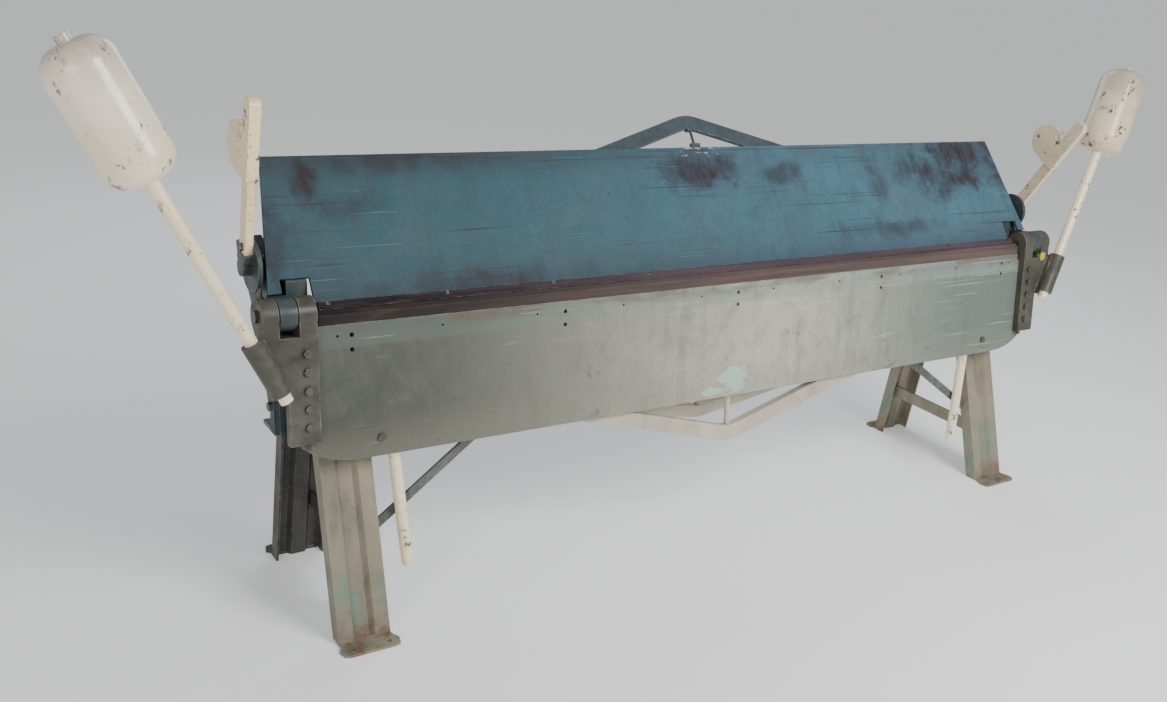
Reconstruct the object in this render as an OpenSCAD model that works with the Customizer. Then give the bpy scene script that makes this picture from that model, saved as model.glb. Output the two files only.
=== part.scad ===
// Hand-operated sheet metal brake: a bed, a clamping top leaf and a counterbalanced bending leaf.
// Millimetres, +X along the bend line, -Y towards the operator, +Z up from the floor.
// The head (bed and both leaves) is laid out square in its own frame, then tipped back on the stand.

/* [Head] */
// Tilt of the whole head about the bend line
tilt = 8.4; // [0:0.1:12]
// Height of the bend line above the floor
hinge_z = 791; // [700:1:900]
// Bend line ahead of the middle of the stand
hinge_y = -74; // [-120:1:-40]
// Half the clear bending length
bend_half = 1228; // [900:1:1228]

/* [Top leaf] */
// Slope of the top leaf from the bed plane
leaf_slope = 61.6; // [50:0.1:65]
// Plate thickness of the top leaf
leaf_t = 10; // [8:1:12]
// Length of the top leaf up its slope
leaf_len = 364; // [300:1:400]
// Half the top leaf's upper edge
leaf_top_half = 1284; // [1260:1:1310]
// Bar depth of the nose bar under the leaf
nose_depth = 60; // [50:1:70]
// Thickness of the nose bar's front lip
nose_lip = 15.2; // [10:0.1:18]
// Set-back of the nose's edge behind the bend line
nose_back = 2.4; // [2.2:0.1:4]
// Clamping gap under the nose with the levers forward
clamp_gap = 0.6; // [0.4:0.1:1.5]

/* [Bending leaf] */
// Thickness of the bending leaf plate
apron_t = 16; // [10:1:20]
// Bottom edge of the bending leaf below the bend line
apron_drop = 358; // [300:1:380]
// Height of the loose bending bar on top of the leaf
bar_h = 33; // [25:1:40]
// Worn bevel on the front of the bending bar
bar_bevel = 9; // [4:1:12]
// Spacing of the small holes
small_pitch = 265; // [200:1:270]
// Radius of the small holes
small_r = 3.2; // [2:0.1:4]
// Spacing of the large hole pairs
large_pitch = 579; // [400:1:580]
// Radius of the large holes
large_r = 5.5; // [4:0.1:7]

/* [Hinges] */
// Radius of the hinge knuckles
knuckle_r = 38; // [34:1:38]
// Radius of the hinge pins
pin_r = 10; // [8:1:12]
// Running clearance of pins and shafts
run = 0.05; // [0.02:0.01:0.08]
// Bolt pitch down each hinge casting
bolt_pitch = 42.75; // [40:0.25:44]

/* [Counterbalance] */
// Outward lean of the balance rods
rod_lean = 27.5; // [20:0.5:30]
// Radius of the balance rods
rod_r = 15.5; // [12:0.5:17]
// Radius of the counterweights
weight_r = 77; // [60:1:85]
// Length of the counterweights
weight_len = 300; // [250:1:320]

/* [Clamp] */
// Height of the clamp shafts above the bed plane
shaft_z = 95; // [93:1:97]
// Distance of the clamp shafts behind the bend line
shaft_y = 110; // [109:1:114]
// Throw of the eccentric pins
throw = 24; // [20:0.5:24]
// Full swing of the clamp levers
swing = 80; // [60:1:80]
// Length of a clamp lever from its shaft to its tip
lever_len = 388; // [350:1:420]
// Forward lean of the left lever at rest, in the head frame
lean_left = 16; // [0:1:40]
// Forward lean of the right lever at rest, in the head frame
lean_right = 38; // [0:1:40]

/* [Stand] */
// Middle of each leg pair from the centre
leg_x = 1157; // [1140:1:1165]
// Width of the pressed legs
leg_w = 132; // [110:1:136]
// Sheet thickness of the legs
leg_t = 6; // [4:0.5:8]
// Forward splay of the front legs
splay_front = 20.2; // [12:0.1:21]
// Rearward splay of the rear legs
splay_rear = 4.5; // [3:0.1:8]
// Foot hole line from the middle of the stand, front and rear
foot_hole_y = 263; // [263:1:263]
// Spacing of the two holes in a foot
foot_pitch = 93; // [80:1:100]
// Height of the stand plates' upper face
stand_z = 503; // [500:1:505]

/* [Hidden] */
$fn = 48;
eps = 0.01;
apron_y0 = -13.25;
apron_y1 = apron_y0 + apron_t;
small_z = -59.6;
large_z = [small_z, small_z - 34.2];
leaf_foot_y = 22.9;
leaf_foot_z = 12;
frame_x0 = 1291;
frame_x1 = 1331;
cast_x0 = 1247;
cast_x1 = 1373;
plate_x1 = 1319;
plate_drop = 297;
slot_x0 = frame_x0 - 2.5;
slot_x1 = frame_x1 + 2.5;
plate_y = -36;
hinge_bolt_x = 1274;
hinge_bolt_z = -85.6;
clamp_bolt_x = 1091;
clamp_bolt_z = -313;
hole_sides = 48;
web_y0 = 44;
web_t = 18;
frame_bolt_z = [-80, -150, -220];
rail_half = 1084.5;
rail_y0 = -72;
rail_y1 = 25;
rail_t = 12;
bed_t = 16;
shaft_r = 13;
ecc_r = 9;
ecc_clear = 0.8;
ecc_start = 40;
bracket_x0 = 1232;
bracket_x1 = 1282;
bracket_back = 125;
arm_t = 6;
arm_x0 = frame_x0 - arm_t - 0.5;
disc_x0 = 1336;
disc_x1 = 1346;
disc_r = 60;
lever_w = 35;
lever_t = 20;
lever_bar = 210;
bolt_at = 48;
truss_h = 42;
handle_y = 23;
handle_r = 15;
handle_lean = 5.8;
front_foot_y = -230.4;
rear_foot_y = 241;
toe_y = foot_hole_y + 20;
flange = 38;
foot_t = 7;
plate_t = 10;
tie_z0 = 142;
tie_h = 40;

// ---- placing helpers ----

// Children drawn in the head frame: origin on the bend line, +Z square to the bed
module head() {
    translate([0, hinge_y, hinge_z])
        rotate([-tilt, 0, 0])
            children();
}

// Right-hand children as they are for side 1, mirrored for side -1
module flank(side) {
    if (side > 0)
        children();
    else
        mirror([1, 0, 0])
            children();
}

// A profile drawn as [y, z] points, extruded from x0 to x1
module slab_x(x0, x1) {
    translate([x0, 0, 0])
        rotate([90, 0, 90])
            linear_extrude(height = x1 - x0)
                children();
}

// A profile drawn as [x, z] points, extruded from y0 to y1
module slab_y(y0, y1) {
    translate([0, y1, 0])
        rotate([90, 0, 0])
            linear_extrude(height = y1 - y0)
                children();
}

// Round bar along X
module rod_x(x0, x1, y, z, r) {
    translate([x0, y, z])
        rotate([0, 90, 0])
            cylinder(r = r, h = x1 - x0);
}

// Round bar along Y
module rod_y(x, y0, y1, z, r) {
    translate([x, y1, z])
        rotate([90, 0, 0])
            cylinder(r = r, h = y1 - y0, $fn = hole_sides);
}

// Flat bar between two points: wide in the upright plane, thin across it
module flat_bar(a, b, wide, thin) {
    d = b - a;
    len = norm(d);
    translate(a)
        rotate([0, acos(d[2] / len), atan2(d[1], d[0])])
            translate([-wide / 2, -thin / 2, 0])
                cube([wide, thin, len]);
}

// Children drawn in the plane of the top leaf: X along, Y up the slope, Z out of its front face
module on_leaf() {
    translate([0, leaf_foot_y, leaf_foot_z])
        rotate([leaf_slope, 0, 0])
            children();
}

// Shallow V bar in the XY plane with a round bend, its outer edge's lowest point at the origin
module v_bar(half, slope, bend, height, depth) {
    outer = bend + height / 2;
    reach = half - bend * sin(slope);
    translate([0, outer, 0])
        rotate([0, 0, -90 - slope])
            rotate_extrude(angle = 2 * slope, $fn = 96)
                translate([bend - height / 2, 0])
                    square([height, depth]);
    for (m = [0, 1])
        mirror([m, 0, 0])
            translate([0, outer, 0])
                rotate([0, 0, slope])
                    translate([0, -outer, 0])
                        cube([reach / cos(slope), height, depth]);
}

// Hexagon head on a round shank, head's underside at the origin, shank down -Z
module hex_bolt(head_r, head_h, shank_r, shank_l) {
    cylinder(r = head_r, h = head_h, $fn = 6);
    translate([0, 0, -shank_l])
        cylinder(r = shank_r, h = shank_l + eps);
}

// ---- bed and side frames ----

// Upright web of the bed between the side frames, standing on the rail and the stand plates
module bed_plate() {
    color("dimgray")
        difference() {
            head()
                difference() {
                    translate([-frame_x0, web_y0, -300])
                        cube([2 * frame_x0, web_t, 300 - bed_t]);
                    for (s = [-1, 1])
                        flank(s)
                            for (z = frame_bolt_z)
                                rod_x(frame_x0 - 36, frame_x0 + 1, web_y0 + web_t / 2, z, 6);
                }
            translate([-1400, -300, 0])
                cube([2800, 700, stand_z]);
        }
}

// Level rail under the bed's web between the stand plates
module bed_rail() {
    color("dimgray")
        translate([-rail_half, rail_y0, stand_z - rail_t])
            cube([2 * rail_half, rail_y1 - rail_y0, rail_t]);
}

// Hardened bar on top of the bed, under the nose of the top leaf
module bed_bar() {
    color("slategray")
        head()
            translate([-1240, apron_y1 + 0.6, -bed_t])
                cube([2480, 78, bed_t]);
}

// Outline of a side frame seen from the end
module frame_outline() {
    polygon([[0, 36.5], [66, 34], [92, 80], [106, 119], [160, 158], [250, 138], [256, 88], [212, 40],
             [186, 0], [150, -60], [88, -170], [66, -230], [62, -300], [18, -300], [18, -52], [0, -38]]);
}

module side_frame(side) {
    color("darkslategray")
        flank(side)
            difference() {
                head()
                    difference() {
                        union() {
                            slab_x(frame_x0 + 8, frame_x1 - 8)
                                frame_outline();
                            rod_x(frame_x0, frame_x1, 0, 0, knuckle_r);
                            rod_x(frame_x0, frame_x1, shaft_y, shaft_z, 25);
                            slab_x(frame_x0, frame_x1)
                                polygon([
                                    [0, -38], [0, 36], [50, 34.5], [62, -20], [62, -300], [36, -300], [36, -50]
                                ]);
                            slab_x(frame_x0, frame_x1)
                                polygon([[212, 60], [234, 64], [250, 136], [226, 142]]);
                            slab_x(frame_x0, frame_x1)
                                polygon([
                                    [150, -60], [88, -170], [66, -230], [48, -230], [70, -165], [130, -55]
                                ]);
                        }
                        rod_x(frame_x0 - 1, frame_x1 + 1, 0, 0, 14);
                        rod_x(frame_x0 - 1, frame_x1 + 1, shaft_y, shaft_z, 17);
                        for (z = frame_bolt_z)
                            rod_x(frame_x0 - 1, frame_x1 + 1, web_y0 + web_t / 2, z, 6);
                    }
                translate([1200, -300, 0])
                    cube([300, 700, stand_z]);
            }
}

module hinge_bush(side) {
    color("goldenrod")
        flank(side)
            head()
                difference() {
                    rod_x(frame_x0, frame_x1, 0, 0, 14);
                    rod_x(frame_x0 - 1, frame_x1 + 1, 0, 0, pin_r + run);
                }
}

module shaft_bush(side) {
    color("goldenrod")
        flank(side)
            head()
                difference() {
                    rod_x(frame_x0, frame_x1, shaft_y, shaft_z, 17);
                    rod_x(frame_x0 - 1, frame_x1 + 1, shaft_y, shaft_z, shaft_r + run);
                }
}

// Slide bar on the side frame's inner face that keeps the top leaf's bracket upright
module leaf_guide(side) {
    color("gray")
        flank(side)
            head()
                difference() {
                    translate([bracket_x0, bracket_back + 0.5, 8])
                        cube([frame_x0 + 8 - bracket_x0, 24, 128]);
                    translate([bracket_x0 - 1, bracket_back + 8, 20])
                        cube([24, 30, 104]);
                    rod_x(frame_x0 - 1, frame_x1, shaft_y, shaft_z, 25.4);
                }
}

// Screw and lock nut at the frame's shoulder that sets the top leaf back from the bend line
module setback_screw(side) {
    color("silver")
        flank(side)
            head() {
                translate([frame_x1, 50, 3])
                    cube([20, 26, 20]);
                translate([frame_x1 + 10, 63, 22])
                    cylinder(r = 9, h = 8, $fn = 6);
                translate([frame_x1 + 10, 63, 29])
                    cylinder(r = 5, h = 22);
            }
}

// ---- stand ----

module stand_plate(side) {
    color("dimgray")
        flank(side)
            difference() {
                translate([leg_x - leg_w / 2 - 6, -62, stand_z - plate_t])
                    cube([frame_x1 - leg_x + leg_w / 2 - 2, 272, plate_t]);
                translate([leg_x + leg_w / 2 + 20, 20, stand_z - plate_t - 1])
                    cube([200, 300, plate_t + 2]);
                for (p = leg_bolt_spots())
                    translate([p[0], p[1], stand_z - plate_t - 1])
                        cylinder(r = 6, h = plate_t + 2);
            }
}

// Bolt places on a stand plate, two to a leg
function leg_bolt_spots() = [
    for (dx = [-32, 32])
        for (y = [-22, 176])
            [leg_x + dx, y]
];

// Cross-section of a pressed leg: web with a sunk groove, and two flanges
module leg_section() {
    h = leg_w / 2;
    t = leg_t;
    polygon([[-h, 0], [-28, 0], [-17, 13], [17, 13], [28, 0], [h, 0], [h, flange], [h - t, flange], [h - t, t],
             [30, t], [19, 13 + t], [-19, 13 + t], [-30, t], [t - h, t], [t - h, flange], [-h, flange]]);
}

// Plan of a foot: as wide as the leg at the bend, flared at the toe with cut corners
module foot_plan(reach) {
    h = leg_w / 2;
    polygon([[-h, -8], [-h - 10, -reach + 26], [-h - 4, -reach + 4], [-h + 10, -reach],
             [h - 10, -reach], [h + 4, -reach + 4], [h + 10, -reach + 26], [h, -8], [h - 2, 9], [2 - h, 9]]);
}

// One leg standing at y = 0 with its web towards -Y, splayed outwards by the angle
module leg(splay, reach) {
    top = stand_z - plate_t;
    difference() {
        union() {
            intersection() {
                rotate([-splay, 0, 0])
                    translate([0, 0, -60])
                        linear_extrude(height = top / cos(splay) + 160)
                            leg_section();
                translate([-leg_w, -100, 0])
                    cube([2 * leg_w, 500, top]);
            }
            linear_extrude(height = foot_t)
                foot_plan(reach);
            translate([1 - leg_w / 2, top * tan(splay) + 3, top - 8])
                cube([leg_w - 2, flange + 6, 8]);
        }
        for (dx = [-foot_pitch / 2, foot_pitch / 2])
            translate([dx, 20 - reach, -1])
                cylinder(r = 5.5, h = foot_t + 2);
    }
}

module front_leg(side) {
    color("darkgray")
        flank(side)
            difference() {
                translate([leg_x, front_foot_y, 0])
                    leg(splay_front, front_foot_y + toe_y);
                for (p = leg_bolt_spots())
                    translate([p[0], p[1], stand_z - plate_t - 20])
                        cylinder(r = 6, h = 30);
            }
}

module rear_leg(side) {
    color("darkgray")
        flank(side)
            difference() {
                translate([leg_x, rear_foot_y, 0])
                    mirror([0, 1, 0])
                        leg(splay_rear, toe_y - rear_foot_y);
                for (p = leg_bolt_spots())
                    translate([p[0], p[1], stand_z - plate_t - 20])
                        cylinder(r = 6, h = 30);
            }
}

// Flat tie between the front and rear leg of one end, its ends cut to the legs' slopes
module cross_tie(side) {
    z1 = tie_z0 + tie_h;
    function front_at(z) = front_foot_y + z * tan(splay_front) + leg_t / cos(splay_front);
    function rear_at(z) = rear_foot_y - z * tan(splay_rear) - leg_t / cos(splay_rear);
    color("dimgray")
        flank(side)
            slab_x(leg_x - leg_w / 2 + 28, leg_x - leg_w / 2 + 36)
                polygon([[front_at(tie_z0) + 0.1, tie_z0], [rear_at(tie_z0) - 0.1, tie_z0],
                         [rear_at(z1) - 0.1, z1], [front_at(z1) + 0.1, z1]]);
}

// Slanting brace from a front leg's inner flange up to the bed's web
module brace(side) {
    color("gray")
        flank(side)
            intersection() {
                flat_bar([1106, -113, 226], [659, -60, 523], 24, 8);
                translate([500, -200, 100])
                    cube([leg_x - leg_w / 2 - 500, 400, stand_z - rail_t - 100]);
            }
}

module bed_truss() {
    color("dimgray")
        intersection() {
            translate([0, rail_y1, 312])
                rotate([90, 0, 0])
                    v_bar(1060, 9.5, 150, 38, 22);
            translate([-1400, -100, 0])
                cube([2800, 200, stand_z - rail_t]);
        }
}

module bed_truss_post() {
    color("gray") {
        translate([0, rail_y1 - 11, 350])
            cylinder(r = 9, h = stand_z - rail_t - 350);
        translate([-24, rail_y1 - 34, stand_z - rail_t - 8])
            cube([48, 46, 8]);
    }
}

// Bolts through the side frames into the bed, heads outside
// Bolts through the side frames into the bed, and bolts through the stand plates into the legs
module frame_bolts() {
    color("silver")
        for (s = [-1, 1])
            flank(s) {
                head()
                    for (z = frame_bolt_z)
                        translate([frame_x1, web_y0 + web_t / 2, z])
                            rotate([0, 90, 0])
                                hex_bolt(11, 8, 6, frame_x1 - frame_x0 + 36);
                for (p = leg_bolt_spots())
                    translate([p[0], p[1], stand_z])
                        hex_bolt(11, 8, 6, 19);
            }
}

// ---- top leaf ----

module leaf_plan() {
    tab = 31.5;
    notch = 65;
    low = leaf_top_half + 47;
    polygon([[-bend_half, 0], [bend_half, 0], [bend_half, notch], [1299, notch], [1299, tab], [low, tab],
             [leaf_top_half, leaf_len], [-leaf_top_half, leaf_len], [-low, tab], [-1299, tab],
             [-1299, notch], [-bend_half, notch]]);
}

module top_leaf_plate() {
    color("cadetblue")
        head()
            difference() {
                on_leaf()
                    translate([0, 0, -leaf_t])
                        linear_extrude(height = leaf_t)
                            leaf_plan();
                translate([-1400, -40, -60])
                    cube([2800, 200, 60 + leaf_foot_z]);
            }
}

// Nose bar seen from the end: flat foot under the leaf and a lip up its front
module nose_bar() {
    foot = [leaf_foot_y, leaf_foot_z];
    crest = foot + [-sin(leaf_slope), cos(leaf_slope)] * nose_lip;
    color("dimgray")
        head()
            difference() {
                slab_x(-bend_half, bend_half)
                    polygon([[nose_back, clamp_gap], crest, foot, [nose_depth, leaf_foot_z], [nose_depth, clamp_gap]]);
                nose_screw_set();
            }
}

// Countersunk screws along the lip
module nose_screw_set() {
    for (i = [-4:4])
        translate([0, leaf_foot_y, leaf_foot_z])
            rotate([leaf_slope, 0, 0])
                translate([i * 301, -4.8, nose_lip]) {
                    translate([0, 0, -18])
                        cylinder(r = 2.5, h = 18);
                    translate([0, 0, -3])
                        cylinder(r1 = 2.5, r2 = 4.6, h = 3 + eps);
                }
}

module nose_screws() {
    color("black")
        head()
            intersection() {
                nose_screw_set();
                on_leaf()
                    translate([-1400, -60, -200])
                        cube([2800, 200, 200 + nose_lip - 0.6]);
            }
}

// Truss bar on the back of the leaf, arching over its top edge
module leaf_truss() {
    color("cadetblue")
        head()
            on_leaf()
                translate([0, leaf_len + 105, -leaf_t - 14])
                    mirror([0, 1, 0])
                        v_bar(1185, 17, 110, truss_h, 14);
}

// Lug on the leaf's top edge and the small tie rod up to the truss
module leaf_truss_post() {
    color("dimgray")
        head()
            on_leaf() {
                translate([-16, leaf_len, -leaf_t])
                    cube([32, 14, leaf_t - 1]);
                translate([0, leaf_len + 10, -leaf_t / 2 - 3])
                    rotate([-90, 0, 0])
                        cylinder(r = 4, h = 105 - truss_h - 10);
                translate([-8, leaf_len + 105 - truss_h - 6, -leaf_t - 12])
                    cube([16, 6, 16]);
            }
}

// Back bracket of the leaf: slides on the guide and is lifted by the eccentric pin in its slot
module leaf_bracket(side) {
    back_at = leaf_foot_y + leaf_t / sin(leaf_slope);
    function back(z) = back_at + (z - leaf_foot_z) / tan(leaf_slope);
    slot_z = shaft_z - throw * sin(ecc_start);
    slot_y0 = shaft_y - throw;
    slot_y1 = shaft_y - throw * cos(ecc_start);
    color("darkslategray")
        flank(side)
            head()
                difference() {
                    slab_x(bracket_x0, bracket_x1)
                        polygon([[60, 4], [bracket_back, 4], [bracket_back, 158], [back(176), 176], [back(60), 60]]);
                    slab_x(bracket_x0 - 1, bracket_x1 + 1)
                        union() {
                            translate([slot_y0 - ecc_clear, slot_z])
                                circle(r = ecc_r + ecc_clear);
                            translate([slot_y1 + ecc_clear, slot_z])
                                circle(r = ecc_r + ecc_clear);
                            translate([slot_y0 - ecc_clear, slot_z - ecc_r - ecc_clear])
                                square([slot_y1 - slot_y0 + 2 * ecc_clear, 2 * (ecc_r + ecc_clear)]);
                        }
                }
}

// ---- clamp levers ----

// Children drawn at a clamp shaft, +Y along the lever towards its tip, +X towards the rear, +Z outboard
module at_shaft(lean) {
    translate([0, shaft_y, shaft_z])
        rotate([lean, 0, 0])
            rotate([90, 0, 90])
                children();
}

// Shaft, dished disc and eccentric pin in one piece
module clamp_hub(side, lean) {
    pin_y = -throw * cos(ecc_start);
    pin_z = -throw * sin(ecc_start);
    color("darkslategray")
        flank(side)
            head()
                difference() {
                    union() {
                        rod_x(frame_x0 - 1, disc_x0 + 1, shaft_y, shaft_z, shaft_r);
                        rod_x(disc_x0, disc_x1, shaft_y, shaft_z, disc_r);
                        rod_x(disc_x1 - 1, disc_x1 + 22, shaft_y, shaft_z, 22);
                        translate([0, shaft_y, shaft_z])
                            rotate([ecc_start, 0, 0])
                                translate([arm_x0, -throw, -9.5])
                                    cube([arm_t, throw, 19]);
                        rod_x(arm_x0, arm_x0 + arm_t, shaft_y, shaft_z, shaft_r);
                        rod_x(arm_x0, arm_x0 + arm_t, shaft_y + pin_y, shaft_z + pin_z, 10.5);
                        rod_x(bracket_x0 - 2, arm_x0 + 1, shaft_y + pin_y, shaft_z + pin_z, ecc_r);
                        at_shaft(lean)
                            translate([-24, 14, disc_x1 - 1])
                                cube([48, 20, 23]);
                    }
                    at_shaft(lean)
                        translate([-lever_w / 2, 20, disc_x1])
                            cube([lever_w, 60, lever_t]);
                    at_shaft(lean)
                        translate([0, bolt_at, disc_x0 - 1])
                            cylinder(r = 5, h = 20);
                }
}

// Flat bar of the lever, footed in the hub
module clamp_lever(side, lean) {
    color("wheat")
        flank(side)
            head()
                difference() {
                    at_shaft(lean)
                        translate([-lever_w / 2, 20, disc_x1])
                            cube([lever_w, lever_bar, lever_t]);
                    at_shaft(lean)
                        translate([0, bolt_at, disc_x1 - 1])
                            cylinder(r = 5, h = 40);
                }
}

module lever_bolt(side, lean) {
    color("silver")
        flank(side)
            head()
                at_shaft(lean) {
                    translate([0, bolt_at, disc_x0])
                        cylinder(r = 5, h = disc_x1 - disc_x0 + lever_t);
                    translate([0, bolt_at, disc_x1 + lever_t])
                        cylinder(r = 10, h = 7, $fn = 6);
                }
}

// Cast upper end of a lever: hand grip with a round weight behind it
module weight_plan() {
    difference() {
        union() {
            translate([-19, 206])
                square([38, lever_len - 206 - 19]);
            translate([0, lever_len - 19])
                circle(r = 19);
            translate([60, 265])
                circle(r = 54);
            polygon([[18, 206], [40, 208], [86, 218], [60, 290], [18, 284]]);
        }
        translate([32, 303])
            circle(r = 13);
    }
}

module lever_weight(side, lean) {
    color("wheat")
        flank(side)
            head()
                at_shaft(lean)
                    difference() {
                        translate([0, 0, disc_x1 - 3.5])
                            linear_extrude(height = lever_t + 7)
                                weight_plan();
                        translate([-lever_w / 2, 180, disc_x1])
                            cube([lever_w, lever_bar - 160, lever_t]);
                    }
}

// ---- bending leaf ----

module bending_plate() {
    color("darkseagreen")
        head()
            difference() {
                slab_y(apron_y0, apron_y1)
                    polygon([
                        for (p = apron_half()) p,
                        for (i = [len(apron_half()) - 1:-1:0]) [-apron_half()[i][0], apron_half()[i][1]]
                    ]);
                apron_holes();
                dowels();
            }
}

// Right half of the bending leaf's outline, from the top middle round to the bottom middle
function apron_half() = [
    [0, -bar_h], [1238, -bar_h], [1238, -53], [1312, -53], [1312, -252],
    for (a = [0:15:75]) [1140 + 160 * cos(a), -apron_drop + 84 - 84 * sin(a)],
    [1140, -apron_drop], [0, -apron_drop]
];

module apron_holes() {
    for (i = [-4.5:1:4.5])
        rod_y(i * small_pitch, apron_y0 - 1, apron_y1 + 1, small_z, small_r);
    for (i = [-2:2])
        for (z = large_z)
            rod_y(i * large_pitch, apron_y0 - 1, apron_y1 + 1, z, large_r);
    for (s = [-1, 1]) {
        for (k = [0:4])
            rod_y(s * hinge_bolt_x, apron_y0 - 1, apron_y1 + 1, hinge_bolt_z - k * bolt_pitch, 5);
        rod_y(s * clamp_bolt_x, apron_y0 - 1, apron_y1 + 1, clamp_bolt_z, 5);
    }
}

// Loose bar along the bending leaf's top edge, its worn front corner bevelled
module bending_bar() {
    color("sienna")
        head()
            difference() {
                slab_x(-1236, 1236)
                    polygon([[apron_y1, 0], [apron_y0 + bar_bevel, 0], [apron_y0, -bar_bevel - 1], [apron_y0, -bar_h],
                             [apron_y1, -bar_h]]);
                dowels();
            }
}

// Dowels that locate the bending bar on the leaf
module dowels() {
    for (i = [-4.5:1:4.5])
        translate([i * small_pitch, (apron_y0 + apron_y1) / 2 + 2, -bar_h - 12])
            cylinder(r = 4, h = 24);
}

module bar_dowels() {
    color("silver")
        head()
            dowels();
}

// Children along a balance rod: origin at the socket's lower end, +Z up the rod
module on_rod() {
    translate([1341, -57, -164])
        rotate([-2, 0, 0])
            rotate([0, rod_lean, 0])
                children();
}

module hinge_casting(side) {
    color("dimgray")
        flank(side)
            head()
                difference() {
                    union() {
                        rod_x(cast_x0, slot_x0, 0, 0, knuckle_r);
                        rod_x(slot_x1, cast_x1, 0, 0, knuckle_r);
                        slab_y(plate_y, apron_y0)
                            polygon([[cast_x0, 10], [cast_x1, 10], [cast_x1, -45], [plate_x1, -168],
                                     [plate_x1, -plate_drop], [cast_x0, -plate_drop]]);
                        slab_x(cast_x0, cast_x1)
                            polygon([[plate_y, 0], [plate_y, -52.8], [6, -52.8], [27, -26], [0, 0]]);
                        slab_y(-52, -18)
                            polygon([[cast_x1, -40], [plate_x1 - 4, -170], [1341, -160], [1396, -52]]);
                        on_rod()
                            cylinder(r = 25, h = 133);
                    }
                    slab_x(slot_x0, slot_x1)
                        polygon([[-60, 60], [60, 60], [60, -47], [-60, -47]]);
                    rod_x(cast_x0 - 1, cast_x1 + 1, 0, 0, pin_r);
                    on_rod()
                        translate([0, 0, -40])
                            cylinder(r = rod_r, h = 240);
                    for (k = [0:4])
                        rod_y(hinge_bolt_x, plate_y - 1, apron_y0 + 1, hinge_bolt_z - k * bolt_pitch, 5);
                    translate([1265, (plate_y + apron_y0) / 2, -plate_drop - 1])
                        cylinder(r = 6, h = 26);
                }
}

module hinge_bolts() {
    color("gray")
        head()
            for (s = [-1, 1])
                for (k = [0:4])
                    translate([s * hinge_bolt_x, plate_y, hinge_bolt_z - k * bolt_pitch])
                        rotate([90, 0, 0])
                            hex_bolt(10, 7, 5, apron_y1 - plate_y);
}

module hinge_pin(side) {
    color("silver")
        flank(side)
            head() {
                rod_x(cast_x0, cast_x1 + 1, 0, 0, pin_r);
                rod_x(cast_x1 + 0.5, cast_x1 + 6, 0, 0, 15);
            }
}

module jack_screws() {
    color("silver")
        for (s = [-1, 1])
            flank(s)
                head()
                    translate([1265, (plate_y + apron_y0) / 2, -plate_drop - 12])
                        cylinder(r = 6, h = 36);
}

module balance_rod(side) {
    color("antiquewhite")
        flank(side)
            head()
                on_rod()
                    translate([0, 0, -22])
                        cylinder(r = rod_r, h = 864);
}

// Cast counterweight: a fat cylinder with well rounded ends, bored for the rod
module counterweight(side) {
    round_r = 52;
    color("antiquewhite")
        flank(side)
            head()
                on_rod()
                    translate([0, 0, 526])
                        difference() {
                            rotate_extrude($fn = 96)
                                difference() {
                                    union() {
                                        translate([0, round_r])
                                            square([weight_r, weight_len - 2 * round_r]);
                                        square([weight_r - round_r, weight_len]);
                                        for (z = [round_r, weight_len - round_r])
                                            translate([weight_r - round_r, z])
                                                circle(r = round_r);
                                    }
                                    translate([-200, -10])
                                        square([200, weight_len + 20]);
                                }
                            translate([0, 0, -1])
                                cylinder(r = rod_r, h = weight_len + 2);
                            translate([0, rod_r, weight_len - 90])
                                rotate([-90, 0, 0])
                                    cylinder(r = 6, h = weight_r);
                        }
}

// Square-headed screws that lock the counterweights on their rods
module weight_set_screws() {
    color("gray")
        for (s = [-1, 1])
            flank(s)
                head()
                    on_rod()
                        translate([0, rod_r, 526 + weight_len - 90]) {
                            rotate([-90, 0, 0])
                                cylinder(r = 6, h = weight_r - rod_r + 2);
                            translate([-7, weight_r - rod_r + 1, -7])
                                cube([14, 10, 14]);
                        }
}

// Children along a pull handle: origin at its upper end, +Z down the handle
module on_handle() {
    translate([1058, handle_y, -230])
        rotate([0, 180 + handle_lean, 0])
            children();
}

module pull_handle(side) {
    length = 442;
    color("antiquewhite")
        flank(side)
            head()
                on_handle() {
                    cylinder(r = handle_r, h = length - handle_r);
                    translate([0, 0, length - handle_r])
                        sphere(r = handle_r);
                }
}

// Saddle clamps that hold the pull handles to the back of the bending leaf
module handle_clamps() {
    color("dimgray")
        for (s = [-1, 1])
            flank(s)
                head()
                    difference() {
                        union() {
                            translate([1022, apron_y1, -330])
                                cube([86, handle_y + handle_r + 5 - apron_y1, 30]);
                            translate([1026, apron_y1, -275])
                                cube([62, handle_y + handle_r + 5 - apron_y1, 30]);
                            rod_y(clamp_bolt_x, apron_y0 - 6, apron_y0, clamp_bolt_z, 10);
                            rod_y(clamp_bolt_x, apron_y0 - 1, apron_y1 + 1, clamp_bolt_z, 5);
                        }
                        on_handle()
                            translate([0, 0, -30])
                                cylinder(r = handle_r, h = 400);
                    }
}

module apron_truss() {
    color("darkkhaki")
        head()
            translate([0, apron_y1 + 25, -494])
                rotate([90, 0, 0])
                    v_bar(1150, 14.7, 120, truss_h, 25);
}

// King post between the bending leaf's lower edge and its truss
module apron_truss_post() {
    color("dimgray")
        head() {
            translate([0, apron_y1 + 12.5, -494 + truss_h])
                cylinder(r = 8, h = 126);
            translate([-20, apron_y1, -apron_drop + 4])
                cube([40, 25, 26]);
        }
}

// ---- every node ----

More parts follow.
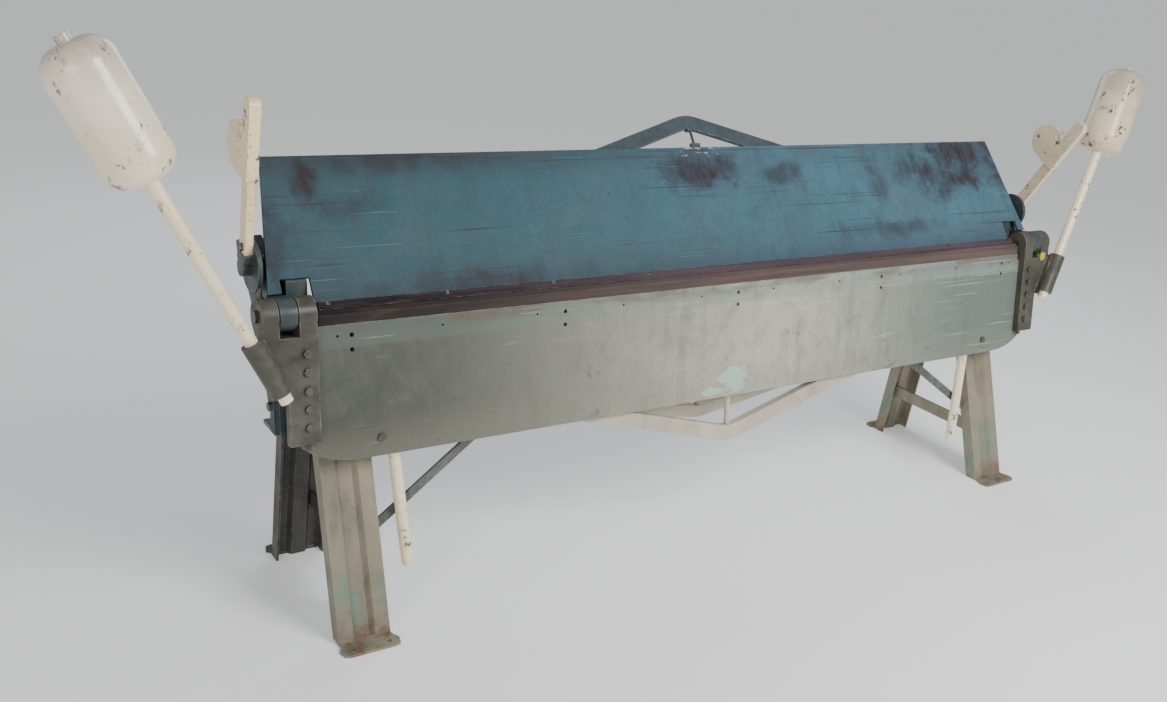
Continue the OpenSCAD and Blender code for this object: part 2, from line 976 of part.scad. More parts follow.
bed_plate();
bed_bar();
bed_rail();
side_frame(-1);  // left_side_frame
side_frame(1);  // right_side_frame
hinge_bush(-1);  // left_hinge_bush
hinge_bush(1);  // right_hinge_bush
shaft_bush(-1);  // left_shaft_bush
shaft_bush(1);  // right_shaft_bush
leaf_guide(-1);  // left_leaf_guide
leaf_guide(1);  // right_leaf_guide
setback_screw(-1);  // left_setback_screw
setback_screw(1);  // right_setback_screw
stand_plate(-1);  // left_stand_plate
stand_plate(1);  // right_stand_plate
front_leg(-1);  // left_front_leg
front_leg(1);  // right_front_leg
rear_leg(-1);  // left_rear_leg
rear_leg(1);  // right_rear_leg
cross_tie(-1);  // left_cross_tie
cross_tie(1);  // right_cross_tie
brace(-1);  // left_brace
brace(1);  // right_brace
bed_truss();
bed_truss_post();
frame_bolts();
top_leaf_plate();
nose_bar();
nose_screws();
leaf_truss();
leaf_truss_post();
leaf_bracket(-1);  // left_leaf_bracket
leaf_bracket(1);  // right_leaf_bracket
clamp_hub(-1, lean_left);  // left_clamp_hub
clamp_lever(-1, lean_left);  // left_clamp_lever
lever_weight(-1, lean_left);  // left_lever_weight
lever_bolt(-1, lean_left);  // left_lever_bolt
clamp_hub(1, lean_right);  // right_clamp_hub
clamp_lever(1, lean_right);  // right_clamp_lever
lever_weight(1, lean_right);  // right_lever_weight
lever_bolt(1, lean_right);  // right_lever_bolt
bending_plate();
bending_bar();
bar_dowels();
hinge_casting(-1);  // left_hinge_casting
hinge_casting(1);  // right_hinge_casting
hinge_bolts();
hinge_pin(-1);  // left_hinge_pin
hinge_pin(1);  // right_hinge_pin
balance_rod(-1);  // left_balance_rod
balance_rod(1);  // right_balance_rod
counterweight(-1);  // left_counterweight
counterweight(1);  // right_counterweight
weight_set_screws();
pull_handle(-1);  // left_pull_handle
pull_handle(1);  // right_pull_handle
handle_clamps();
apron_truss();
apron_truss_post();
jack_screws();
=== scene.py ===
import math

import bpy
from mathutils import Matrix, Vector

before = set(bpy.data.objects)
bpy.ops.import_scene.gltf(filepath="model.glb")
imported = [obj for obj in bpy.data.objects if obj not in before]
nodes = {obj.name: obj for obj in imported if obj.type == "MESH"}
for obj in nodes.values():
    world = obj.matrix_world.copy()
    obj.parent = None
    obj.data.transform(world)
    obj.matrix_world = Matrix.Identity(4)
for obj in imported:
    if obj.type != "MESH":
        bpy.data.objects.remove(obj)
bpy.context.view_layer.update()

TILT = math.radians(8.4)                 # lean of the head on its stand
HINGE = Vector((0.0, -0.074, 0.791))     # middle of the bend line
LEAF_SLOPE = math.radians(61.6)          # slope of the top leaf's face, in the head's frame
LEAF_FOOT = (0.0229, 0.012)              # depth and height of that face's foot, from the bend line


def head(x, y, z):
    """A point given in the head's own square frame, in metres, as a row-frame point."""
    c, s = math.cos(TILT), math.sin(TILT)
    return Vector((x, HINGE.y + y * c + z * s, HINGE.z - y * s + z * c))


def on_leaf(x, up):
    """A point on the top leaf's front face, up its slope from its foot."""
    depth, height = LEAF_FOOT
    return head(x, depth + up * math.cos(LEAF_SLOPE), height + up * math.sin(LEAF_SLOPE))


# ---------------------------------------------------------------- building a material

def rgb(r, g, b):
    return (r, g, b, 1.0)


class Paint:
    """One node material, built up as a stack of covers on a first colour."""

    def __init__(self, name):
        self.mat = bpy.data.materials.new(name)
        self.mat.use_nodes = True
        self.tree = self.mat.node_tree
        self.bsdf = self.tree.nodes["Principled BSDF"]
        self.coord = self.tree.nodes.new("ShaderNodeTexCoord").outputs["Object"]
        self.round = None
        self.colour = None

    def put(self, node, key, value):
        if isinstance(value, bpy.types.NodeSocket):
            self.tree.links.new(value, node.inputs[key])
        else:
            node.inputs[key].default_value = value

    def node(self, kind, **values):
        made = self.tree.nodes.new(kind)
        for key, value in values.items():
            self.put(made, key.replace("_", " "), value)
        return made

    def noise(self, scale, detail=4.0, rough=0.55, stretch=(1, 1, 1), warp=0.0, seed=0.0):
        place = self.node("ShaderNodeMapping", Vector=self.coord)
        place.inputs["Scale"].default_value = stretch
        place.inputs["Location"].default_value = (seed, seed * 0.37, seed * 0.61)
        made = self.node("ShaderNodeTexNoise", Vector=place.outputs[0], Scale=scale, Detail=detail,
                         Roughness=rough, Distortion=warp)
        return made.outputs["Fac"]

    def step(self, value, low, high, to_low=0.0, to_high=1.0):
        """A smooth ramp of a value from one range to another."""
        made = self.tree.nodes.new("ShaderNodeMapRange")
        made.interpolation_type = "SMOOTHSTEP"
        for index, item in enumerate((value, low, high, to_low, to_high)):
            self.put(made, index, item)
        return made.outputs[0]

    def patches(self, low, high, scale, detail=4.0, rough=0.55, stretch=(1, 1, 1), warp=0.0, seed=0.0,
                least=0.0, most=1.0):
        """Noise cut to patches: least below low, most above high."""
        return self.step(self.noise(scale, detail, rough, stretch, warp, seed), low, high, least, most)

    def sum(self, how, a, b, clamp=False):
        made = self.tree.nodes.new("ShaderNodeMath")
        made.operation = how
        made.use_clamp = clamp
        self.put(made, 0, a)
        self.put(made, 1, b)
        return made.outputs[0]

    def times(self, *values):
        result = values[0]
        for value in values[1:]:
            result = self.sum("MULTIPLY", result, value)
        return result

    def less(self, a, b):
        return self.sum("SUBTRACT", a, b)

    def vector(self, how, a, b, key=1):
        made = self.tree.nodes.new("ShaderNodeVectorMath")
        made.operation = how
        self.put(made, 0, a)
        if b is not None:
            self.put(made, key, b)
        return made.outputs

    def mix(self, amount, a, b):
        made = self.tree.nodes.new("ShaderNodeMix")
        made.data_type = "RGBA"
        self.put(made, 0, amount)
        self.put(made, 6, a)
        self.put(made, 7, b)
        return made.outputs[2]

    def cover(self, mask, colour, amount=1.0):
        """Lays a colour over what is there so far, where the mask is 1."""
        strength = mask if amount == 1.0 else self.times(mask, amount)
        self.colour = self.mix(strength, self.colour, colour)

    def axis(self, which):
        return self.node("ShaderNodeSeparateXYZ", Vector=self.coord).outputs[which]

    def along(self, which, low, high, to_low=0.0, to_high=1.0):
        """A smooth ramp along X, Y or Z."""
        return self.step(self.axis(which), low, high, to_low, to_high)

    def near(self, centre, reach, soft, wobble, scale):
        """1 close to a point, 0 beyond an ellipsoid of the given half sizes, with a ragged edge."""
        moved = self.vector("SUBTRACT", self.coord, centre)[0]
        scaled = self.vector("DIVIDE", moved, reach)[0]
        away = self.vector("LENGTH", scaled, None)["Value"]
        ragged = self.patches(0.3, 0.7, scale, 5.0, 0.6, least=-wobble, most=wobble)
        return self.step(self.sum("ADD", away, ragged), 1.0, 1.0 - soft)

    def edges(self, radius=0.004, low=0.03, high=0.22):
        """1 along worn outer edges: where a rounded normal leaves the true one, broken up by noise."""
        soft = self.node("ShaderNodeBevel", Radius=radius)
        soft.samples = 4
        self.round = self.node("ShaderNodeBevel", Radius=radius * 0.4).outputs[0]
        true = self.tree.nodes.new("ShaderNodeNewGeometry").outputs["Normal"]
        bent = self.less(1.0, self.vector("DOT_PRODUCT", soft.outputs[0], true)["Value"])
        return self.times(self.step(bent, low, high), self.patches(0.38, 0.68, 38.0, 6.0, 0.7))

    def bump(self, height, strength, distance):
        return self.node("ShaderNodeBump", Height=height, Strength=strength, Distance=distance,
                         Normal=self.round).outputs[0]

    def done(self, rough, metal, normal, shine=0.3, coat=0.0, coat_rough=0.2):
        values = {"Base Color": self.colour, "Specular IOR Level": shine, "Roughness": rough,
                  "Metallic": metal, "Normal": normal, "Coat Weight": coat, "Coat Roughness": coat_rough}
        for key, value in values.items():
            self.put(self.bsdf, key, value)
        return self.mat


# ---------------------------------------------------------------- colours

STEEL = rgb(0.42, 0.40, 0.38)
WORN_IRON = rgb(0.45, 0.42, 0.38)
RUST = rgb(0.11, 0.055, 0.035)
GRIME = rgb(0.035, 0.032, 0.03)
DUST = rgb(0.6, 0.58, 0.52)
MARK_YELLOW = rgb(0.62, 0.55, 0.06)

LEAF = {
    # left: the teal at the left end, darkened with painted shade; right: the teal at the right end
    "left": rgb(0.040, 0.100, 0.122),
    "right": rgb(0.082, 0.185, 0.250),
    "cloud": rgb(0.050, 0.105, 0.115),
    "pale": rgb(0.09, 0.18, 0.23),
    "rubbed": rgb(0.060, 0.062, 0.075),
    "dark_top": rgb(0.036, 0.040, 0.043),
    "faded": rgb(0.095, 0.130, 0.155),
    "lower": rgb(0.060, 0.062, 0.072),
    "grain": rgb(0.030, 0.050, 0.060),
    "blotch": rgb(0.048, 0.078, 0.092),
    "drips": rgb(0.052, 0.060, 0.070),
    "stain": rgb(0.036, 0.026, 0.032),
    "chalk": rgb(0.50, 0.52, 0.54),
    "scratch": rgb(0.045, 0.030, 0.030),
    "light_scratch": rgb(0.24, 0.32, 0.36),
    "chip": rgb(0.07, 0.04, 0.035),
    "edge": rgb(0.20, 0.20, 0.20),
}

APRON = {
    # left and right: the enamel at the two ends, darkened with painted shade; middle: the enamel's own tone;
    # the first band colour is the band in the left end's painted shade
    "left": rgb(0.068, 0.076, 0.062),
    "middle": rgb(0.540, 0.545, 0.435),
    "right": rgb(0.080, 0.135, 0.125),
    "band_shaded_left": rgb(0.105, 0.150, 0.135),
    "band": rgb(0.300, 0.385, 0.345),
    "cloud": rgb(0.165, 0.175, 0.150),
    "low": rgb(0.300, 0.270, 0.215),
    "oil": rgb(0.120, 0.088, 0.065),
    "grain": rgb(0.105, 0.100, 0.080),
    "blotch": rgb(0.150, 0.150, 0.125),
    "drips": rgb(0.135, 0.125, 0.100),
    "rubs": rgb(0.50, 0.50, 0.44),
    "repair": rgb(0.400, 0.600, 0.500),
    "marks": rgb(0.10, 0.09, 0.08),
    "specks": rgb(0.09, 0.06, 0.05),
    "edge": rgb(0.36, 0.35, 0.33),
}

CREAM = {
    "warm": rgb(0.95, 0.74, 0.42),
    # The grey-brown for the top is painted shade mixed with grime
    "top_shade_and_grime": rgb(0.36, 0.30, 0.25),
    "soil": rgb(0.30, 0.25, 0.19),
    "bare": rgb(0.085, 0.070, 0.060),
}

LEG = {
    "beige": rgb(0.330, 0.290, 0.205),
    "olive": rgb(0.215, 0.195, 0.140),
    "old_green": rgb(0.13, 0.25, 0.20),
    "toe_rust": rgb(0.16, 0.075, 0.045),
    "streak": rgb(0.070, 0.062, 0.050),
    "specks": rgb(0.06, 0.04, 0.035),
    "edge": rgb(0.33, 0.31, 0.27),
}

# Brown rubbed places on the top leaf: where, half sizes, strength
STAINS = [
    (on_leaf(-1.19, 0.29), (0.050, 0.085, 0.085), 1.0),
    (on_leaf(-1.08, 0.24), (0.110, 0.050, 0.050), 0.5),
    (on_leaf(-1.31, 0.16), (0.075, 0.170, 0.170), 0.75),
    (on_leaf(-0.95, 0.36), (0.330, 0.060, 0.060), 0.65),
    (on_leaf(0.00, 0.285), (0.190, 0.095, 0.095), 1.0),
    (on_leaf(0.30, 0.275), (0.130, 0.045, 0.045), 0.7),
    (on_leaf(0.70, 0.23), (0.060, 0.160, 0.160), 0.6),
    (on_leaf(1.15, 0.31), (0.340, 0.170, 0.170), 1.0),
    (on_leaf(1.00, 0.26), (0.300, 0.120, 0.120), 0.6),
    (on_leaf(0.68, 0.075), (0.300, 0.045, 0.045), 0.65),
    (on_leaf(-0.75, 0.02), (0.380, 0.050, 0.050), 0.7),
]
CHALK_SPOT = (on_leaf(0.00, 0.356), (0.09, 0.028, 0.028))

# Repainted places on the bending leaf: where, half sizes
REPAIRS = [
    (head(0.00, -0.013, -0.305), (0.062, 0.05, 0.036)),
    (head(-0.09, -0.013, -0.338), (0.042, 0.05, 0.014)),
]

# The small yellow square on the right hinge casting
CASTING_MARK = (head(1.345, -0.037, -0.045), (0.016, 0.03, 0.016))


# ---------------------------------------------------------------- materials

def worn_paint(name, base, second, dirt=0.35, dust=0.18):
    """Old enamel: two shades, dirt in patches, small chips to primer and bare worn edges."""
    p = Paint(name)
    p.colour = base
    p.cover(p.patches(0.32, 0.68, 3.2, 5.0, 0.6, warp=0.6), second)
    p.cover(p.patches(0.25, 0.8, 60.0, 6.0, 0.65, most=dust), DUST)
    p.cover(p.patches(0.46, 0.74, 6.5, 7.0, 0.66, warp=1.2, seed=4.0, most=dirt), GRIME)
    specks = p.times(p.patches(0.66, 0.71, 95.0, 4.0, 0.6, seed=2.0),
                     p.patches(0.42, 0.62, 7.0, 3.0, seed=8.0))
    p.cover(specks, RUST, 0.5)
    edge = p.edges()
    p.cover(edge, STEEL)
    rough = p.patches(0.3, 0.75, 14.0, 5.0, 0.6, seed=1.0, least=0.35, most=0.61)
    height = p.less(p.noise(220.0, 3.0, 0.5), p.times(specks, 1.4))
    return p.done(p.less(rough, p.times(edge, 0.12)), p.times(edge, 0.75), p.bump(height, 0.16, 0.0006))


def leaf_paint():
    """Teal enamel of the top leaf: darker to the left with painted shade, brown rubbed stains and long
    scratches.
    """
    p = Paint("leaf_teal")
    # Colour blended from the left end's to the right end's along X: the darker left end is painted shade
    p.colour = LEAF["left"]
    p.cover(p.along("X", -1.3, 1.1), LEAF["right"])
    p.cover(p.patches(0.34, 0.7, 2.6, 6.0, 0.62, warp=0.8), LEAF["cloud"], 0.45)
    p.cover(p.patches(0.55, 0.78, 4.5, 7.0, 0.7, warp=1.0, seed=7.0, most=0.35), LEAF["pale"])
    rubbed = p.patches(0.40, 0.62, 5.0, 6.0, 0.7, warp=0.6, seed=5.0)
    p.cover(p.times(p.along("Z", 1.02, 1.10), rubbed), LEAF["rubbed"], 0.5)
    p.cover(p.times(p.along("Z", 1.01, 1.10), p.along("X", 0.1, -0.7)), LEAF["dark_top"], 0.65)
    p.cover(p.patches(0.42, 0.66, 3.6, 6.0, 0.68, warp=0.9, seed=17.0), LEAF["faded"], 0.30)
    p.cover(p.along("Z", 0.90, 0.80), LEAF["lower"], 0.4)
    p.cover(p.patches(0.30, 0.72, 150.0, 6.0, 0.75, (1, 0.6, 0.6), seed=11.0, most=0.34), LEAF["grain"])
    p.cover(p.patches(0.44, 0.74, 18.0, 7.0, 0.72, (1, 0.7, 0.7), 0.5, 13.0, most=0.5), LEAF["blotch"])
    p.cover(p.patches(0.52, 0.72, 7.0, 6.0, 0.7, (2.6, 0.35, 0.35), 0.3, 15.0, most=0.4), LEAF["drips"])
    fray = p.patches(0.28, 0.66, 34.0, 8.0, 0.78, (1, 0.45, 0.45), least=0.45)
    for centre, reach, amount in STAINS:
        p.cover(p.times(p.near(centre, reach, 0.9, 0.35, 12.0), fray), LEAF["stain"], amount)
    chalk = p.times(p.near(*CHALK_SPOT, 0.6, 0.3, 20.0),
                    p.patches(0.565, 0.60, 75.0, 6.0, 0.7, (0.6, 1.6, 1.6), seed=21.0))
    p.cover(chalk, LEAF["chalk"], 0.7)
    scratch = p.times(p.patches(0.60, 0.66, 3.0, 5.0, 0.55, (0.6, 60.0, 60.0), 0.2, 3.0),
                      p.patches(0.42, 0.6, 2.4, 3.0, seed=6.0))
    p.cover(scratch, LEAF["scratch"], 0.7)
    light_scratch = p.times(p.patches(0.635, 0.665, 4.0, 5.0, 0.6, (0.7, 55.0, 55.0), 0.4, 9.0),
                            p.patches(0.5, 0.6, 3.1, 3.0, seed=12.0))
    p.cover(light_scratch, LEAF["light_scratch"], 0.25)
    chips = p.times(p.patches(0.665, 0.70, 80.0, 5.0, 0.62, seed=2.0),
                    p.patches(0.44, 0.62, 5.0, 4.0, seed=8.0))
    p.cover(chips, LEAF["chip"], 0.75)
    edge = p.edges()
    p.cover(edge, LEAF["edge"])
    rough = p.patches(0.3, 0.75, 9.0, 6.0, 0.65, seed=1.0, least=0.42, most=0.66)
    height = p.less(p.noise(240.0, 3.0, 0.5), p.sum("ADD", chips, scratch))
    return p.done(rough, p.times(edge, 0.3), p.bump(height, 0.14, 0.0006), shine=0.14)


def apron_paint():
    """Green-grey enamel of the bending leaf: ends darkened with painted shade, a green band on top and
    repainted places.
    """
    p = Paint("apron_green_grey")
    # Darker left and right ends: painted shade; the green band darkens with the same painted shade to the
    # left
    middle = p.along("X", -1.15, 0.30)
    p.colour = APRON["left"]
    p.cover(middle, APRON["middle"])
    p.cover(p.along("X", 0.05, 1.05), APRON["right"], 0.85)
    band = p.times(p.along("Z", 0.700, 0.712), p.patches(0.3, 0.7, 2.2, 6.0, 0.6, (1, 8, 8), least=0.35))
    p.cover(band, p.mix(middle, APRON["band_shaded_left"], APRON["band"]), 0.75)
    p.cover(p.patches(0.36, 0.72, 3.1, 6.0, 0.62, warp=0.9), APRON["cloud"], 0.30)
    p.cover(p.along("Z", 0.56, 0.44), APRON["low"], 0.30)
    oil = p.times(p.along("Z", 0.722, 0.748), p.patches(0.38, 0.6, 5.0, 6.0, 0.7, (1, 3, 3)))
    p.cover(oil, APRON["oil"], 0.65)
    p.cover(p.patches(0.30, 0.74, 130.0, 6.0, 0.78, seed=11.0, most=0.30), APRON["grain"])
    p.cover(p.patches(0.44, 0.74, 21.0, 7.0, 0.74, (1, 1, 0.7), 0.6, 13.0, most=0.42), APRON["blotch"])
    p.cover(p.patches(0.50, 0.72, 6.0, 7.0, 0.72, (2.6, 1, 0.3), 0.3, 15.0, most=0.40), APRON["drips"])
    rubs = p.times(p.patches(0.60, 0.66, 4.0, 6.0, 0.6, (0.7, 30, 30), 0.6, 5.0),
                   p.patches(0.45, 0.6, 3.3, 3.0, seed=14.0))
    p.cover(rubs, APRON["rubs"], 0.45)
    for centre, reach in REPAIRS:
        p.cover(p.near(centre, reach, 0.25, 0.35, 24.0), APRON["repair"], 0.7)
    marks = p.times(p.patches(0.635, 0.66, 5.0, 5.0, 0.6, warp=5.0, seed=3.0),
                    p.patches(0.48, 0.62, 2.8, 3.0, seed=6.0))
    p.cover(marks, APRON["marks"], 0.45)
    specks = p.times(p.patches(0.655, 0.70, 110.0, 5.0, 0.62, seed=2.0),
                     p.patches(0.42, 0.62, 6.0, 4.0, seed=8.0))
    p.cover(specks, APRON["specks"], 0.6)
    edge = p.edges()
    p.cover(edge, APRON["edge"])
    rough = p.patches(0.3, 0.75, 11.0, 6.0, 0.65, seed=1.0, least=0.36, most=0.6)
    height = p.less(p.noise(240.0, 3.0, 0.5), p.sum("ADD", specks, marks))
    return p.done(rough, p.times(edge, 0.3), p.bump(height, 0.12, 0.0006), shine=0.18)


def bare_bar(name, dark, bright, line, shine=0.3, dull=0.0):
    """Oiled steel bar, darkest at its left end from painted shade, rubbed bright along its edges and in
    streaks.
    """
    p = Paint(name)
    streak = p.patches(0.32, 0.7, 5.0, 6.0, 0.65, (0.5, 14, 14))
    shade = p.mix(streak, dark, rgb(dark[0] * 1.7, dark[1] * 1.5, dark[2] * 1.6))
    # Colour scaled darker towards the left end: painted shade
    p.colour = p.vector("SCALE", shade, p.along("X", -1.3, 0.1, 0.22, 1.95), "Scale")[0]
    p.cover(p.patches(0.5, 0.72, 9.0, 7.0, 0.7, (0.6, 3, 3), 0.6, 3.0, most=0.35), RUST)
    edge = p.edges(0.0022, 0.02, 0.2)
    p.cover(edge, bright, line)
    rough = p.patches(0.3, 0.75, 22.0, 6.0, 0.65, (0.4, 6, 6), seed=1.0, least=0.30 + dull, most=0.56 + dull)
    skin = p.noise(160.0, 4.0, 0.6, (0.2, 3, 3))
    return p.done(rough, p.times(edge, 0.5), p.bump(skin, 0.18, 0.0005), shine)


def casting(name, base, second, bright=0.8, mark=None):
    """Painted or oily casting: grainy skin, grime in patches and bright worn edges."""
    p = Paint(name)
    p.colour = base
    p.cover(p.patches(0.32, 0.7, 9.0, 6.0, 0.62, warp=0.8), second)
    p.cover(p.patches(0.46, 0.72, 15.0, 7.0, 0.7, warp=1.0, seed=4.0, most=0.6), GRIME)
    edge = p.edges(0.006, 0.02, 0.2)
    p.cover(edge, WORN_IRON, bright)
    if mark:
        p.cover(p.near(*mark, 0.25, 0.2, 60.0), MARK_YELLOW, 0.85)
    rough = p.patches(0.3, 0.75, 18.0, 5.0, 0.6, seed=1.0, least=0.30, most=0.58)
    grain = p.sum("ADD", p.noise(170.0, 4.0, 0.6), p.times(p.noise(45.0, 3.0, 0.5), 0.8))
    return p.done(rough, p.times(edge, 0.7), p.bump(grain, 0.35, 0.0008))


def cream(name, light, dark, chips, spread):
    """Thick glossy cream enamel, brushed on, with dark chips, yellowed runs and painted shade at the top."""
    p = Paint(name)
    p.colour = light
    p.cover(p.patches(0.3, 0.7, 7.0, 5.0, 0.6, warp=0.6), dark)
    p.cover(p.along("Z", 1.26, 1.16), CREAM["warm"], 0.35)
    # Greyer and darker towards the top: painted shade, mixed with grime
    top_shade_and_grime = p.times(p.along("Z", 1.25, 1.37), p.patches(0.30, 0.62, 9.0, 6.0, 0.7, seed=31.0))
    p.cover(top_shade_and_grime, CREAM["top_shade_and_grime"], 0.55)
    p.cover(p.patches(0.52, 0.76, 12.0, 7.0, 0.7, warp=1.4, seed=4.0, most=0.40), CREAM["soil"])
    fine = p.times(p.patches(0.615, 0.65, 70.0, 6.0, 0.7, seed=22.0),
                   p.patches(0.44, 0.60, 6.0, 4.0, seed=18.0))
    flake = p.times(p.patches(0.585, 0.61, 30.0, 7.0, 0.72, seed=2.0),
                    p.patches(0.47 - spread, 0.58 - spread, 8.0, 4.0, seed=8.0))
    flake = p.sum("ADD", flake, fine, clamp=True)
    edge = p.edges(0.005, 0.03, 0.2)
    bare = p.sum("ADD", p.times(flake, chips), p.times(edge, 0.85), clamp=True)
    p.cover(bare, CREAM["bare"])
    rough = p.patches(0.3, 0.75, 20.0, 5.0, 0.6, seed=1.0, least=0.16, most=0.36)
    lumps = p.less(p.noise(75.0, 3.0, 0.55), p.times(bare, 0.8))
    return p.done(p.sum("ADD", rough, p.times(bare, 0.3)), 0.0, p.bump(lumps, 0.30, 0.0012),
                  shine=0.4, coat=0.5, coat_rough=0.08)


def leg_paint():
    """Legs: beige-olive over old green, green and rusty towards the feet."""
    p = Paint("leg_olive")
    p.colour = LEG["beige"]
    p.cover(p.patches(0.32, 0.7, 4.0, 6.0, 0.62, warp=0.8), LEG["olive"])
    green = p.times(p.patches(0.46, 0.62, 11.0, 7.0, 0.7, (1, 1, 0.5), 0.8, 3.0), p.along("Z", 0.34, 0.05))
    p.cover(green, LEG["old_green"], 0.7)
    toe = p.times(p.patches(0.40, 0.62, 16.0, 7.0, 0.7, seed=5.0), p.along("Z", 0.10, 0.0))
    p.cover(toe, LEG["toe_rust"], 0.75)
    p.cover(p.patches(0.52, 0.74, 9.0, 6.0, 0.65, (2.0, 2.0, 0.35), seed=9.0, most=0.55), LEG["streak"])
    specks = p.times(p.patches(0.655, 0.70, 85.0, 4.0, 0.6, seed=2.0),
                     p.patches(0.40, 0.62, 7.0, 3.0, seed=8.0))
    p.cover(specks, LEG["specks"], 0.7)
    edge = p.edges()
    p.cover(edge, LEG["edge"])
    rough = p.patches(0.3, 0.75, 13.0, 5.0, 0.6, seed=1.0, least=0.42, most=0.68)
    height = p.less(p.noise(200.0, 3.0, 0.5), specks)
    return p.done(rough, p.times(edge, 0.4), p.bump(height, 0.2, 0.0007))


def bolt_metal(name, base, second):
    """Oily screws and pins."""
    p = Paint(name)
    p.colour = base
    p.cover(p.patches(0.3, 0.7, 40.0, 6.0, 0.65), second)
    p.cover(p.patches(0.5, 0.7, 60.0, 6.0, 0.7, seed=4.0, most=0.6), RUST)
    p.cover(p.edges(0.0018, 0.02, 0.2), rgb(0.5, 0.47, 0.42), 0.8)
    rough = p.patches(0.3, 0.75, 70.0, 5.0, 0.6, seed=1.0, least=0.26, most=0.5)
    return p.done(rough, 0.7, p.bump(p.noise(260.0, 4.0, 0.6), 0.2, 0.0004))


LOOKS = {
    "leaf": leaf_paint(),
    "apron": apron_paint(),
    "nose": bare_bar("nose_steel", rgb(0.024, 0.018, 0.021), rgb(0.34, 0.33, 0.42), 0.8, 0.14, 0.15),
    "insert": bare_bar("insert_steel", rgb(0.034, 0.026, 0.022), rgb(0.26, 0.22, 0.22), 0.6),
    "bed_bar": bare_bar("bed_bar_steel", rgb(0.07, 0.065, 0.06), rgb(0.34, 0.33, 0.32), 0.7),
    "hinge": casting("hinge_casting_olive", rgb(0.060, 0.060, 0.048), rgb(0.112, 0.104, 0.082)),
    "hinge_right": casting("hinge_casting_marked", rgb(0.060, 0.060, 0.046), rgb(0.090, 0.085, 0.066),
                           mark=CASTING_MARK),
    "frame": casting("side_frame_dark_teal", rgb(0.040, 0.058, 0.060), rgb(0.062, 0.080, 0.078), 0.5),
    "legs": leg_paint(),
    "stand": worn_paint("stand_dark", rgb(0.060, 0.068, 0.064), rgb(0.10, 0.10, 0.088)),
    "truss": worn_paint("truss_beige", rgb(0.58, 0.51, 0.38), rgb(0.42, 0.38, 0.30), 0.3),
    "leaf_truss": worn_paint("truss_teal", rgb(0.026, 0.047, 0.060), rgb(0.042, 0.066, 0.078), 0.3, 0.05),
    "rear_leg": worn_paint("leg_dark_brown", rgb(0.070, 0.064, 0.050), rgb(0.045, 0.047, 0.040), 0.4, 0.05),
    "cream": cream("cream_enamel", rgb(0.98, 0.88, 0.68), rgb(0.92, 0.80, 0.62), 0.8, 0.04),
    # A darker copy of the cream for the right-hand cream parts: painted shade, partly rust
    "cream_shaded_rusty": cream("cream_enamel_shaded_rusty", rgb(0.74, 0.64, 0.47), rgb(0.56, 0.47, 0.34), 1.0, 0.06),
    "cream_lever": cream("cream_enamel_levers", rgb(0.98, 0.80, 0.44), rgb(0.86, 0.68, 0.38), 1.0, 0.06),
    "cream_rod": cream("cream_enamel_rods", rgb(1.0, 0.90, 0.68), rgb(0.98, 0.86, 0.60), 1.0, 0.05),
    "bolts": bolt_metal("bolt_steel", rgb(0.09, 0.085, 0.075), rgb(0.17, 0.155, 0.13)),
    "screws": bolt_metal("screw_black", rgb(0.025, 0.022, 0.02), rgb(0.05, 0.04, 0.035)),
    "bronze": bolt_metal("bush_bronze", rgb(0.30, 0.19, 0.07), rgb(0.20, 0.13, 0.06)),
}


def both(*names):
    """The left and the right piece of each name."""
    return [side + "_" + name for name in names for side in ("left", "right")]


WEARS = {
    "leaf": ["top_leaf_plate"],
    "apron": ["bending_plate"],
    "nose": ["nose_bar"],
    "insert": ["bending_bar"],
    "bed_bar": ["bed_bar"],
    "hinge": ["left_hinge_casting", "handle_clamps"],
    "hinge_right": ["right_hinge_casting"],
    "rear_leg": ["left_rear_leg", "left_cross_tie"],
    "frame": both("side_frame", "leaf_guide", "leaf_bracket", "clamp_hub"),
    "legs": ["left_front_leg", "right_front_leg", "right_rear_leg", "right_cross_tie"],
    "stand": ["bed_plate", "bed_rail", *both("stand_plate", "brace")],
    "truss": ["apron_truss", "apron_truss_post", "bed_truss", "bed_truss_post"],
    "leaf_truss": ["leaf_truss", "leaf_truss_post"],
    "cream": ["left_counterweight"],
    "cream_shaded_rusty": ["right_counterweight", "right_lever_weight", "right_clamp_lever"],
    "cream_lever": ["left_lever_weight", "left_clamp_lever"],
    "cream_rod": both("balance_rod", "pull_handle"),
    "bolts": ["frame_bolts", "hinge_bolts", "weight_set_screws", "jack_screws",
              *both("setback_screw", "hinge_pin", "lever_bolt")],
    "screws": ["nose_screws", "bar_dowels"],
    "bronze": both("hinge_bush", "shaft_bush"),
}

for look, wearers in WEARS.items():
    for name in wearers:
        shape = nodes[name]
        shape.data.materials.clear()
        shape.data.materials.append(LOOKS[look])

# ---------------------------------------------------------------- floor, light and camera

FLOOR_SIZE = 600
FLOOR_GLOW = 0.22
SKY_COLOUR = (0.95, 0.97, 1.0, 1.0)
SKY_STRENGTH = 0.42


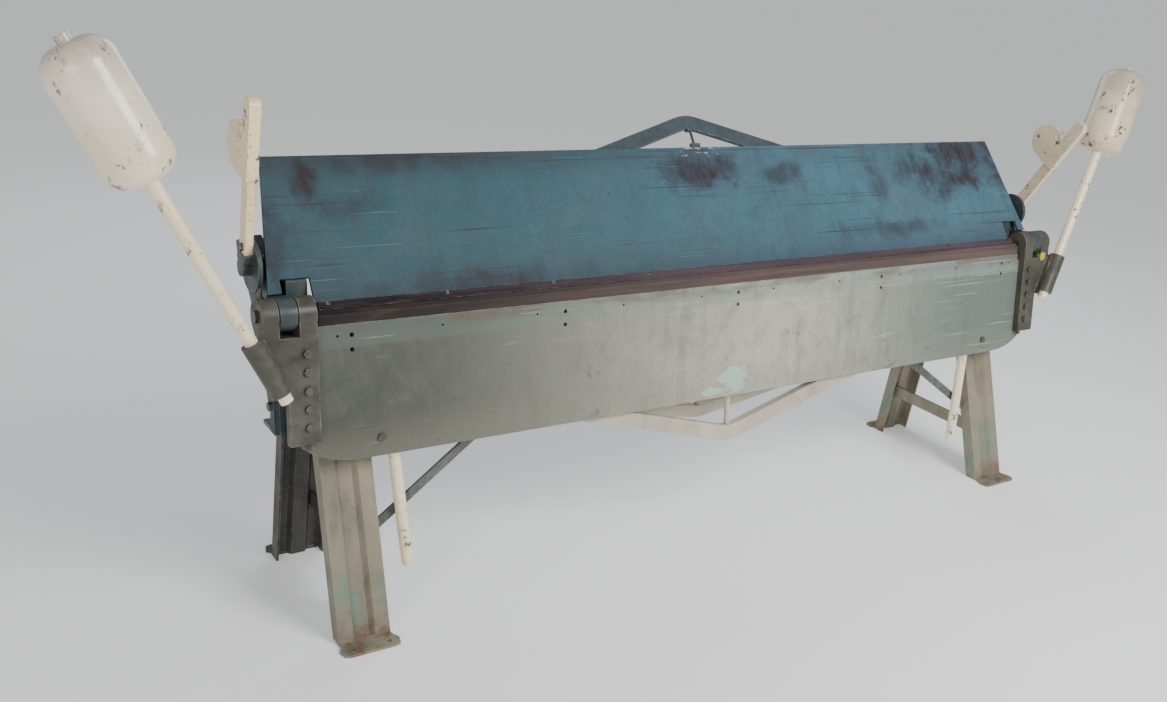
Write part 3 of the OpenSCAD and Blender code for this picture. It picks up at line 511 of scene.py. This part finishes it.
def pale_floor():
    """Matt pale floor that glows faintly, as a lit backdrop does."""
    mat = bpy.data.materials.new("pale_floor")
    mat.use_nodes = True
    values = {"Base Color": rgb(0.92, 0.92, 0.915), "Roughness": 0.9, "Specular IOR Level": 0.3,
              "Emission Color": rgb(1.0, 1.0, 1.0), "Emission Strength": FLOOR_GLOW}
    for key, value in values.items():
        mat.node_tree.nodes["Principled BSDF"].inputs[key].default_value = value
    return mat


bpy.ops.mesh.primitive_plane_add(size=FLOOR_SIZE, location=(0, 0, 0))
floor = bpy.context.object
floor.name = "floor"
floor.data.materials.append(pale_floor())

world = bpy.context.scene.world or bpy.data.worlds.new("studio")
bpy.context.scene.world = world
world.use_nodes = True
sky = world.node_tree.nodes["Background"]
sky.inputs["Color"].default_value = SKY_COLOUR
sky.inputs["Strength"].default_value = SKY_STRENGTH


def lamp(name, place, aim, size, power, colour=(1, 1, 1)):
    light = bpy.data.lights.new(name, "AREA")
    light.size = size
    light.energy = power
    light.color = colour
    holder = bpy.data.objects.new(name, light)
    bpy.context.scene.collection.objects.link(holder)
    holder.location = place
    holder.rotation_euler = (Vector(aim) - Vector(place)).to_track_quat("-Z", "Y").to_euler()


lamp("key", place=(0.7, -3.0, 2.9), aim=(0.3, 0.0, 0.5), size=1.8, power=135)
lamp("back_window", place=(1.6, 3.0, 3.0), aim=(0.2, 0.2, 0.9), size=2.5, power=45, colour=(0.85, 0.93, 1.0))
lamp("left_fill", place=(-3.6, -2.6, 1.6), aim=(-1.4, 0.0, 0.9), size=1.6, power=26)

# The camera stands in front of the left end, above the top leaf, and leans a little to its left
EYE = Vector((-2.1747, -2.4519, 1.6536))
AHEAD = Vector((0.543, 0.769, -0.338)).normalized()
SIDEWAYS = Vector((0.832, -0.546, 0.096))
FOCAL_LENGTH = 36.22
SENSOR_WIDTH = 36.0

right = (SIDEWAYS - SIDEWAYS.dot(AHEAD) * AHEAD).normalized()
up = right.cross(AHEAD)
lens = bpy.data.cameras.new("camera")
lens.sensor_width = SENSOR_WIDTH
lens.lens = FOCAL_LENGTH
camera = bpy.data.objects.new("camera", lens)
camera.matrix_world = Matrix.Translation(EYE) @ Matrix((right, up, -AHEAD)).transposed().to_4x4()
bpy.context.scene.collection.objects.link(camera)
bpy.context.scene.camera = camera
